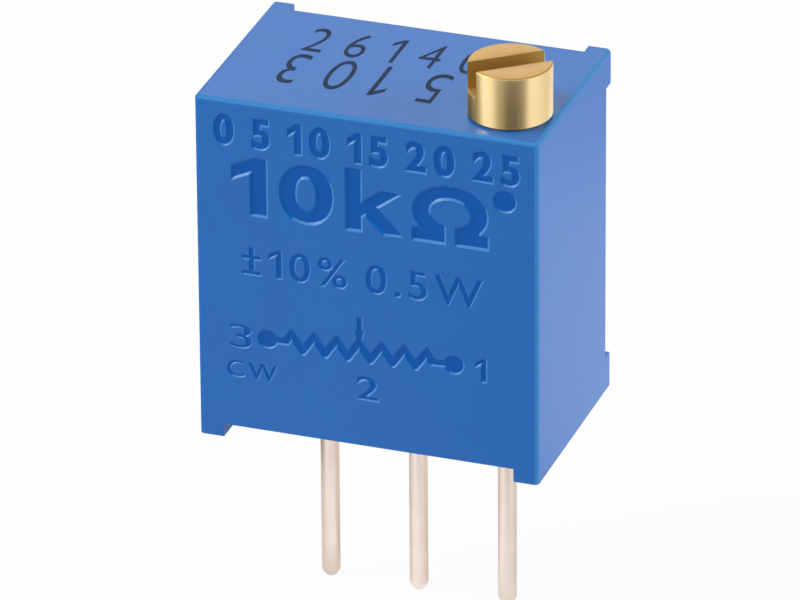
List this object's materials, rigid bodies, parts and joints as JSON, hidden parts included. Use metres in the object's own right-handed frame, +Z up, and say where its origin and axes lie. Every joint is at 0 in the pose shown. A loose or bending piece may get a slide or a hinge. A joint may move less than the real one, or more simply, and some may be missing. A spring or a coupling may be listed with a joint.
{
  "type": "trimmer potentiometer",
  "caption": "Square multi-turn trimmer potentiometer with a slotted brass screw on top, driving an enclosed worm wheel and wiper, and in-line through-hole pins.",
  "frame": {"origin": "axis of the middle pin on the board surface, which is the plane of the undersides of the two rails", "axes": "+Z up from the board along the pins and the adjusting screw, +X towards pin 1 and the screw's side, -Y out of the marked front face"},
  "size_m": [0.0096, 0.0061, 0.0175],
  "materials": {
    "blue_plastic": "moulded satin thermoplastic",
    "brass": "turned, lightly polished",
    "black_rubber": "smooth elastomer",
    "spring_steel": "stamped sheet",
    "ivory_plastic": "moulded acetal",
    "wiper_alloy": "bright spring sheet",
    "alumina": "fired, matt",
    "cermet": "fired resistive glaze",
    "silver_film": "fired silver conductor, matt",
    "tinned_wire": "tin plated, satin",
    "solder": "reflowed solder",
    "blue_epoxy": "cast epoxy, glossy",
    "marking_ink": "printed marking ink"
  },
  "bodies": {
    "case": {"housing": "blue_plastic", "screw_retainer": "spring_steel", "substrate": "alumina", "cermet_track": "cermet", "end_conductor_1": "silver_film", "end_conductor_3": "silver_film", "collector": "silver_film", "pin_1": "tinned_wire", "pin_2": "tinned_wire", "pin_3": "tinned_wire", "solder_1": "solder", "solder_2": "solder", "solder_3": "solder", "potting": "blue_epoxy"},
    "screw": {"adjusting_screw": "brass", "o_ring": "black_rubber"},
    "rotor": {"worm_wheel": "ivory_plastic", "wiper": "wiper_alloy"}
  },
  "joints": [
    {"name": "screw_turn", "type": "hinge", "parent": "case", "child": "screw", "pos_m": [0.00349, -0.00254, 0.00508], "axis": [0, 0, -1], "range_deg": [-4500, 4500]},
    {"name": "rotor_turn", "type": "hinge", "parent": "case", "child": "rotor", "pos_m": [-0.00024, -0.00254, 0.00508], "axis": [0, -1, 0], "range_deg": [-140.63, 140.63]}
  ],
  "couplings": [
    {"joint": "rotor_turn", "follows": "screw_turn", "ratio": 0.03125}
  ]
}
